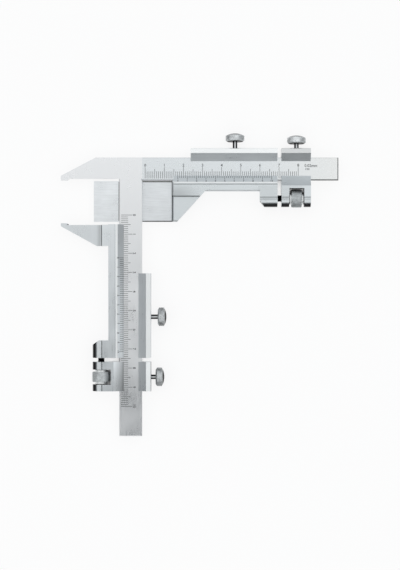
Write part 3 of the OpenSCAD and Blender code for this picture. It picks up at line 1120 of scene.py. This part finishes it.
class CALIPER_OT_verniers(Operator):
    """Engraves the vernier scales on the sliders' bevels"""

    bl_idname = "caliper.verniers"
    bl_label = "Verniers"

    def execute(self, context):
        s = settings().scale
        places = {
            "height": s.height_zero + s.height_reading,
            "thickness": s.thickness_zero + s.thickness_reading,
        }
        for side, zero in places.items():
            bm = vernier_scale(side, zero)
            add_piece(side + "_vernier_scale", bm, "filler", side + "_slider")
        return {"FINISHED"}


class CALIPER_OT_vernier_lands(Operator):
    """Adds the bright lands of painted highlight and the dark seams beside the verniers and the
    locking screws
    """

    bl_idname = "caliper.vernier_lands"
    bl_label = "Vernier lands"

    def execute(self, context):
        v = settings().vernier
        depth, chrome = engraved(SLIDER_TOP), "satin_chromed_steel"
        side_land = v.side_land_start, v.side_land_end
        height_box, thickness_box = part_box("height_slider"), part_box("thickness_slider")
        clamp_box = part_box("thickness_clamp")
        # The height slider's land begins past its gusset's chamfer, and the thickness slider's
        # with the vernier's plate. The one beside the locking screw begins with the channel.
        chamfer, plate_start, channel_start = 0.6 * MM, 23.0 * MM, 48.6 * MM
        end = -thickness_box[0].y
        spans = {
            "height": inside(height_box[0].x + chamfer, height_box[1].x),
            "thickness": inside(plate_start, end),
        }
        seam_widths = {"height": v.seam_width, "thickness": v.fine_seam_width}
        for side, span in spans.items():
            rail = RAILS[side]
            land = bmesh.new()
            add_bar(land, rail, span, (-v.land_end, -v.land_start), depth)
            slope = 0, v.land_slope[side == "thickness"]
            add_bar(land, bevel_place(side)[0], span, slope, engraved(0))
            if side == "thickness":
                add_bar(land, rail, inside(channel_start, end), side_land, depth)
                strip = bmesh.new()
                clamp_span = inside(-clamp_box[1].y, -clamp_box[0].y)
                add_bar(strip, rail, clamp_span, side_land, depth)
                add_piece("thickness_clamp_land", strip, "land", "thickness_clamp")
            add_piece(side + "_vernier_land", land, "land", side + "_slider")
            seam = bmesh.new()
            add_bar(seam, rail, span, about(-v.seam_place, seam_widths[side]), depth)
            add_piece(side + "_vernier_seam", seam, "filler", side + "_slider")
        return {"FINISHED"}


class CALIPER_OT_step_lines(Operator):
    """Draws dark lines of painted shade at the foot of the steps and along the plates' edges, and a
    pale strip over the thickness beam's edge
    """

    bl_idname = "caliper.step_lines"
    bl_label = "Step lines"

    def execute(self, context):
        # The tongue's face, and the plane just behind the thickness beam's back.
        tongue, foot = -1.55 * MM, -1.51 * MM
        # The beam's pale edge, a strip of its chrome laid over its chamfer as a painted highlight,
        # reaches this deep. The dark lines are as deep as the engraving.
        edge_depth = 0.45 * MM
        # Each line: piece, body, finish, lower left and upper right in millimetres, and its face.
        lines = (
            ("tongue_upper_line", "height_slider", "step", (42.6, -0.75), (58.35, -0.22), tongue),
            ("tongue_lower_line", "height_slider", "step", (42.6, -21.48), (60.3, -21.0), tongue),
            ("tongue_end_line", "height_slider", "step", (57.95, -21.0), (58.38, -0.75), tongue),
            ("thickness_beam_foot_line", "frame", "step", (30.1, -21.0), (30.55, -0.6), foot),
            ("jaw_relief_line", "thickness_slider", "step", (3.2, -23.3), (4.1, -22.98), BEAM_TOP),
            ("height_beam_foot_line", "frame", "step", (118.0, 0.02), (144.9, 0.52), BEAM_TOP),
            ("height_beam_end_line", "frame", "step", (144.65, 0.52), (145.0, 11.8), BEAM_TOP),
            ("thickness_beam_edge", "frame", "beam", (42.05, -133.5), (42.48, -0.05), BEAM_TOP),
        )
        for name, body, plate, low, high, face in lines:
            bottom, top = engraved(face)
            slot = "blackened_steel"
            if plate == "beam":
                bottom, slot = face - edge_depth, "satin_chromed_steel"
            bm = bmesh.new()
            along, across = ((low[i] * MM, high[i] * MM) for i in (0, 1))
            add_bar(bm, Matrix.Identity(4), along, across, (bottom, top))
            add_piece(name, bm, plate, body)
        return {"FINISHED"}


class CALIPER_OT_lug_lines(Operator):
    """Draws a dark filled line along the lugs where their half-round flank begins"""

    bl_idname = "caliper.lug_lines"
    bl_label = "Lug lines"

    def execute(self, context):
        v = settings().vernier
        for side, rail in RAILS.items():
            low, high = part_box(side + "_adjusting_nut")
            inward = rail.inverted()
            across = (inward @ ((low + high) / 2)).y + v.lug_line_place
            # Where the nut, the clamp and the slider begin and end along the beam.
            nut = sorted((inward @ c).x for c in (low, high))
            clamp = sorted((inward @ c).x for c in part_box(side + "_clamp"))
            slider = sorted((inward @ c).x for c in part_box(side + "_slider"))
            # The clamp's line stops on both sides of its nut.
            stops = nut[0] - 2 * EDGE_GAP, nut[1] + 2 * EDGE_GAP
            spans = {
                side + "_slider": [(slider[1] - v.lug_length, slider[1])],
                side + "_clamp": [(clamp[0], stops[0]), (stops[1], clamp[1])],
            }
            for body, lines in spans.items():
                bm = bmesh.new()
                for line in lines:
                    width = about(across, v.lug_line_width)
                    add_bar(bm, rail, inside(*line), width, engraved(SLIDER_TOP))
                add_piece(body + "_lug_line", bm, "filler", body)
        return {"FINISHED"}


class CALIPER_OT_locking_screws(Operator):
    """Turns the four locking screws with their knurled and domed heads"""

    bl_idname = "caliper.locking_screws"
    bl_label = "Locking screws"

    def execute(self, context):
        k = settings().knurl
        head, oxide, neck = 0, 1, 2
        knurl_rows, dome_rings, ledge = 5, 8, 0.02 * MM
        screws = {
            "height_locking_screw": ("height_lock", (0, 1, 0), oxide),
            "height_clamp_screw": ("height_clamp_lock", (0, 1, 0), oxide),
            "thickness_locking_screw": ("thickness_lock", (1, 0, 0), head),
            "thickness_clamp_screw": ("thickness_clamp_lock", (1, 0, 0), head),
        }
        for node, (body, direction, chamfer) in screws.items():
            low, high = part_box(node)
            axis = Vector(direction)
            middle = (low + high) / 2
            start = middle + axis * (low - middle).dot(axis)
            length = (high - low).dot(axis)
            rim = (high.z - low.z) / 2
            crown = length - k.head_dome
            edge = crown - k.head_rim
            seat = edge - k.head_chamfer_height
            # The tip and the neck, then the head's flat underside, and the inner half of its
            # chamfer, which is painted black as shade on the height screws alone.
            stations = [
                (0, k.tip_radius),
                (k.tip_length, k.tip_radius, 0, 0, neck),
                (k.tip_length, k.screw_radius, 0, 0, neck),
                (seat, k.screw_radius, 0, 0, neck),
                (seat, rim - k.head_chamfer_width, 0, 0, oxide),
                ((seat + edge) / 2, rim - k.head_chamfer_width / 2, 0, 0, chamfer),
            ]
            for i in range(knurl_rows + 1):
                height = edge + k.head_rim * i / knurl_rows
                stations.append((height, rim, k.head_groove, i % 2))
            # The dome is part of a ball, and begins inside the knurl's grooves.
            ball = (rim**2 + k.head_dome**2) / (2 * k.head_dome)
            half = math.asin(rim / ball)
            lip = rim - k.head_groove
            stations.append((crown + ledge, lip))
            for i in range(1, dome_rings):
                angle = half * (1 - i / dome_rings)
                if ball * math.sin(angle) < lip:
                    height = length - ball * (1 - math.cos(angle))
                    stations.append((height, ball * math.sin(angle)))
            bm = bmesh.new()
            add_turning(bm, facing(start, axis), stations, k.head_teeth)
            add_piece(
                node + "_knurled",
                bm,
                "head oxide neck",
                body,
                replaced=[node],
                smooth_angle=math.radians(28),
            )
        return {"FINISHED"}


class CALIPER_OT_adjusting_nuts(Operator):
    """Turns the two adjusting nuts with a diamond knurl and coned bosses"""

    bl_idname = "caliper.adjusting_nuts"
    bl_label = "Adjusting nuts"

    def execute(self, context):
        k = settings().knurl
        land, knurl_rows = 1, 10
        for side, axis in ALONG.items():
            node = side + "_adjusting_nut"
            low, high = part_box(node)
            middle = (low + high) / 2
            half = abs((high - low).dot(axis)) / 2
            rim = (high.z - low.z) / 2
            knurl = k.nut_rim / 2
            boss_length = half - knurl
            # The boss is straight for three quarters of its length and rounds off to its end.
            boss = [
                (knurl, k.boss_radius),
                (knurl + boss_length * 0.75, k.boss_radius),
                (knurl + boss_length * 0.9, k.boss_radius * 0.55 + k.boss_end_radius * 0.45),
                (half, k.boss_end_radius),
                (half, k.bore_radius),
            ]
            # The bosses are painted bright as a highlight, and the rest is plated.
            stations = [(-height, radius, 0, 0, land) for height, radius in reversed(boss)]
            stations.append((-knurl, rim - k.nut_chamfer))
            knurled = 2 * (knurl - k.nut_chamfer)
            for i in range(knurl_rows + 1):
                height = -knurled / 2 + knurled * i / knurl_rows
                stations.append((height, rim, k.nut_groove, i % 2))
            stations += [(knurl, rim - k.nut_chamfer), boss[0]]
            stations += [(height, radius, 0, 0, land) for height, radius in boss[1:]]
            bm = bmesh.new()
            add_turning(bm, facing(middle, axis), stations, k.nut_teeth, hollow=True)
            add_piece(
                node + "_knurled",
                bm,
                "knurled land",
                side + "_nut",
                replaced=[node],
                smooth_angle=math.radians(12),
            )
        return {"FINISHED"}


class CALIPER_OT_adjusting_screws(Operator):
    """Cuts the threads of the two adjusting screws"""

    bl_idname = "caliper.adjusting_screws"
    bl_label = "Adjusting screws"

    def execute(self, context):
        k = settings().knurl
        steps = 24
        for side, axis in ALONG.items():
            node = side + "_adjusting_screw"
            low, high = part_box(node)
            middle = (low + high) / 2
            length = abs((high - low).dot(axis))
            radius = (high.z - low.z) / 2
            root, crest = radius - k.thread_depth, radius - 0.02 * MM
            turns = math.ceil(length / k.thread_pitch) + 2
            bm = bmesh.new()
            # One turn of the thread's outline, carried up the rod on a spin.
            outline = [
                bm.verts.new((reach, 0, -k.thread_pitch * share))
                for reach, share in ((root, 1), (crest, 0.55), (crest, 0.45), (root, 0))
            ]
            edges = [bm.edges.new(pair) for pair in zip(outline, outline[1:])]
            bmesh.ops.spin(
                bm,
                geom=outline + edges,
                cent=(0, 0, 0),
                axis=(0, 0, 1),
                dvec=(0, 0, k.thread_pitch / steps),
                angle=2 * math.pi * turns,
                steps=steps * turns,
                use_merge=False,
                use_duplicate=False,
            )
            bmesh.ops.remove_doubles(bm, verts=bm.verts, dist=0.01 * MM)
            # Both ends are cut square and closed.
            for height, up in ((0.0, -1), (length, 1)):
                rim = cut_through(bm, (0, 0, height), (0, 0, up), clear_outer=True)
                bmesh.ops.holes_fill(bm, edges=rim, sides=0)
            start = middle - axis * (length / 2)
            bmesh.ops.transform(bm, matrix=facing(start, axis), verts=bm.verts)
            add_piece(node + "_threaded", bm, "oxide", side + "_slider", [node])
        return {"FINISHED"}


class CALIPER_OT_tongue_screws(Operator):
    """Makes the three slotted countersunk screws in the tongue's back"""

    bl_idname = "caliper.tongue_screws"
    bl_label = "Tongue screws"

    def execute(self, context):
        low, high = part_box("tongue_screws")
        head, shank, slot_width, slot_depth = 1.8 * MM, 1.0 * MM, 0.5 * MM, 0.5 * MM
        left = low.x + head
        # Each screw's middle, and the angle at which its slot came to rest.
        places = [
            (left, high.y - head, 0.7),
            (left, low.y + head, 1.8),
            (high.x - head, (high.y + low.y) / 2 - 0.90 * MM, 2.9),
        ]
        bm = bmesh.new()
        for x, y, angle in places:
            screw = bmesh.new()
            stations = [(0, head), (head - shank, shank), (high.z - low.z, shank)]
            add_turning(screw, Matrix.Identity(4), stations, 16)
            # The slot is a strip of the head's face, pushed in between two cuts.
            for side in (-1, 1):
                cut_through(screw, (0, side * slot_width / 2, 0), (0, side, 0))
            strip = [
                f
                for f in screw.faces
                if abs(f.calc_center_median().z) < 0.001 * MM
                and abs(f.calc_center_median().y) < slot_width / 4
            ]
            pushed = bmesh.ops.extrude_face_region(screw, geom=strip)["geom"]
            bmesh.ops.delete(screw, geom=strip, context="FACES")
            floor = only(pushed, bmesh.types.BMVert)
            bmesh.ops.translate(screw, vec=(0, 0, slot_depth), verts=floor)
            bmesh.ops.scale(
                screw, vec=(shank / head, 1, 1), verts=floor, space=Matrix.Identity(4)
            )
            turn = Matrix.Translation((x, y, low.z)) @ Matrix.Rotation(angle, 4, "Z")
            bmesh.ops.transform(screw, matrix=turn, verts=screw.verts)
            mesh = make_mesh("screw", screw)
            bm.from_mesh(mesh)
            bpy.data.meshes.remove(mesh)
        add_piece(
            "tongue_screws_slotted",
            bm,
            "turned",
            "height_slider",
            replaced=["tongue_screws"],
            smooth_angle=0.5,
        )
        return {"FINISHED"}


class CALIPER_OT_finishes(Operator):
    """Gives each solid of the frame its finish"""

    bl_idname = "caliper.finishes"
    bl_label = "Finishes"

    def execute(self, context):
        chosen = {
            "thickness_beam": "beam",
            "height_beam": "bar",
            "tongue": "tongue",
            "tongue_screws": "turned",
        }
        for side in ("thickness", "height"):
            chosen[side + "_slider"] = chosen[side + "_clamp"] = side + "_slider"
            chosen[side + "_gib"] = chosen[side + "_clamp_gib"] = "bronze"
            chosen[side + "_adjusting_screw"] = "oxide"
            chosen[side + "_adjusting_screw_pin"] = "turned"
            for piece in ("_locking_screw", "_clamp_screw", "_adjusting_nut"):
                chosen[side + piece] = "knurled"
        missing = set(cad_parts) - set(chosen)
        if missing:
            raise RuntimeError(f"no finish is given for {sorted(missing)}")
        for node, name in chosen.items():
            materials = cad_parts[node].data.materials
            materials.clear()
            materials.append(finishes()[name])
        return {"FINISHED"}


class CALIPER_OT_studio(Operator):
    """Sets the white floor, the four softboxes, the room's light and the camera"""

    bl_idname = "caliper.studio"
    bl_label = "Studio"

    def execute(self, context):
        s = settings().studio
        scene = context.scene
        bm = bmesh.new()
        bmesh.ops.create_circle(
            bm,
            cap_ends=True,
            radius=s.floor_radius,
            segments=96,
            matrix=Matrix.Translation((s.view_centre[0], s.view_centre[1], CAD_BOUNDS[0][2])),
        )
        floor = add_object("floor", make_mesh("floor", bm))
        floor.data.materials.append(self.floor_board(s.floor_white))

        # Four softboxes lie round a square gap as the sails of a windmill do.
        centre, gap = Vector(s.view_centre), s.gap
        left, low = s.lamp_low
        right, high = s.lamp_high
        x, y = s.gap_place
        for x0, y0, x1, y1 in (
            (x - gap, y + gap, right, high),
            (left, y - gap, x - gap, high),
            (left, low, x + gap, y - gap),
            (x + gap, low, right, y + gap),
        ):
            lamp = bpy.data.lights.new("softbox", "AREA")
            lamp.shape = "RECTANGLE"
            lamp.size, lamp.size_y = x1 - x0, y1 - y0
            # A flat lamp's brightness is its power over a quarter of pi squared and its area.
            lamp.energy = s.lamp_level * math.pi**2 / 4 * lamp.size * lamp.size_y
            softbox = add_object("softbox", lamp)
            softbox.location = centre + Vector(((x0 + x1) / 2, (y0 + y1) / 2, s.lamp_height))

        scene.world = self.room(s)

        data = bpy.data.cameras.new("camera")
        data.lens = s.lens
        data.sensor_fit = "VERTICAL"
        data.sensor_height = s.sensor
        camera = add_object("camera", data)
        camera.location = centre + Vector((0, 0, s.view_height * s.lens / s.sensor))
        scene.camera = camera
        scene.view_settings.view_transform = "Standard"
        return {"FINISHED"}

    def room(self, s):
        """A room that is lighter towards the top of the picture, with a dark ceiling."""
        world = bpy.data.worlds.new("studio_room")
        world.use_nodes = True
        tree = world.node_tree
        tree.nodes.clear()
        way = add_node(tree, "ShaderNodeTexCoord").outputs["Generated"]
        # The walls grow lighter along the picture, and the ceiling sets in well above them.
        shares = []
        for direction, start, end, least, most in (
            ((0.3, 1.0, 0), -1.0, 1.0, s.room_dark, s.room_light),
            ((0, 0, 1), 0.4, 0.8, 0.0, 1.0),
        ):
            reach = add_node(
                tree, "ShaderNodeVectorMath", {0: way, 1: direction}, operation="DOT_PRODUCT"
            )
            share = add_node(
                tree,
                "ShaderNodeMapRange",
                {
                    "From Min": start,
                    "From Max": end,
                    "To Min": least,
                    "To Max": most,
                    "Value": reach.outputs["Value"],
                },
            )
            shares.append(share.outputs["Result"])
        wall, height = shares
        level = add_node(
            tree, "ShaderNodeMix", {"Factor": height, "A": wall, "B": s.ceiling}, data_type="FLOAT"
        )
        colour = add_node(
            tree,
            "ShaderNodeMix",
            {"Factor": height, "A": tuple(s.room_colour), "B": tuple(s.ceiling_colour)},
            data_type="RGBA",
        )
        light = add_node(
            tree,
            "ShaderNodeBackground",
            {"Color": colour.outputs["Result"], "Strength": level.outputs["Result"]},
        )
        add_node(tree, "ShaderNodeOutputWorld", {"Surface": light.outputs["Background"]})
        return world

    def floor_board(self, white):
        """Matt white board. To the eye and in the metal it is nearly plain white; the rest of its
        colour is lit, so the object's shadow stays, and narrow gaps over it stay dark."""
        material, tree, shader = new_material("matt_white_board")
        shader.inputs["Base Color"].default_value = linear("#f4f4f4")
        shader.inputs["Roughness"].default_value = 0.9
        shader.inputs["Specular IOR Level"].default_value = 0.0
        path = add_node(tree, "ShaderNodeLightPath").outputs
        seen = path["Is Camera Ray"]
        for ray in ("Is Glossy Ray", "Is Transmission Ray"):
            seen = add_node(
                tree, "ShaderNodeMath", {0: seen, 1: path[ray]}, operation="MAXIMUM"
            ).outputs["Value"]
        # A gap stays dark where less than 0.035 of the surroundings within 12 mm is open, and from
        # 0.06 on the floor is white.
        open_sky = add_node(
            tree, "ShaderNodeAmbientOcclusion", {"Distance": 12 * MM}, samples=48
        )
        gaps = add_node(
            tree,
            "ShaderNodeMapRange",
            {
                "From Min": 0.035,
                "From Max": 0.06,
                "To Min": 0.0,
                "To Max": white,
                "Value": open_sky.outputs["AO"],
            },
        )
        share = add_node(
            tree, "ShaderNodeMath", {0: seen, 1: gaps.outputs["Result"]}, operation="MULTIPLY"
        )
        glow = add_node(tree, "ShaderNodeEmission", {"Color": (1, 1, 1, 1), "Strength": 1.0})
        mixed = add_node(
            tree,
            "ShaderNodeMixShader",
            {
                0: share.outputs["Value"],
                1: shader.outputs["BSDF"],
                2: glow.outputs["Emission"],
            },
        )
        output = next(n for n in tree.nodes if n.type == "OUTPUT_MATERIAL")
        tree.links.new(mixed.outputs["Shader"], output.inputs["Surface"])
        return material


OPERATORS = (
    CALIPER_OT_finishes,
    CALIPER_OT_beam_scales,
    CALIPER_OT_verniers,
    CALIPER_OT_vernier_lands,
    CALIPER_OT_step_lines,
    CALIPER_OT_lug_lines,
    CALIPER_OT_locking_screws,
    CALIPER_OT_adjusting_nuts,
    CALIPER_OT_adjusting_screws,
    CALIPER_OT_tongue_screws,
    CALIPER_OT_studio,
)


class CALIPER_PT_looks(Panel):
    """The caliper's pieces and settings"""

    bl_idname = "CALIPER_PT_looks"
    bl_label = "Gear tooth caliper"
    bl_space_type = "VIEW_3D"
    bl_region_type = "UI"
    bl_category = "Caliper"

    def draw(self, context):
        layout = self.layout
        for operator in OPERATORS:
            layout.operator(operator.bl_idname)
        for name in ("scale", "vernier", "knurl", "finish", "studio"):
            group = getattr(context.scene.caliper, name)
            box = layout.box()
            box.label(text=context.scene.caliper.bl_rna.properties[name].name)
            for key in group.__annotations__:
                box.prop(group, key)


CLASSES = (
    CaliperScale,
    CaliperVernier,
    CaliperKnurl,
    CaliperFinish,
    CaliperStudio,
    CaliperSettings,
    *OPERATORS,
    CALIPER_PT_looks,
)


def register():
    for cls in CLASSES:
        bpy.utils.register_class(cls)
    bpy.types.Scene.caliper = PointerProperty(type=CaliperSettings)


def unregister():
    del bpy.types.Scene.caliper
    for cls in reversed(CLASSES):
        bpy.utils.unregister_class(cls)


def main():
    register()
    for operator in OPERATORS:
        group, name = operator.bl_idname.split(".")
        getattr(getattr(bpy.ops, group), name)()


if __name__ == "__main__":
    main()
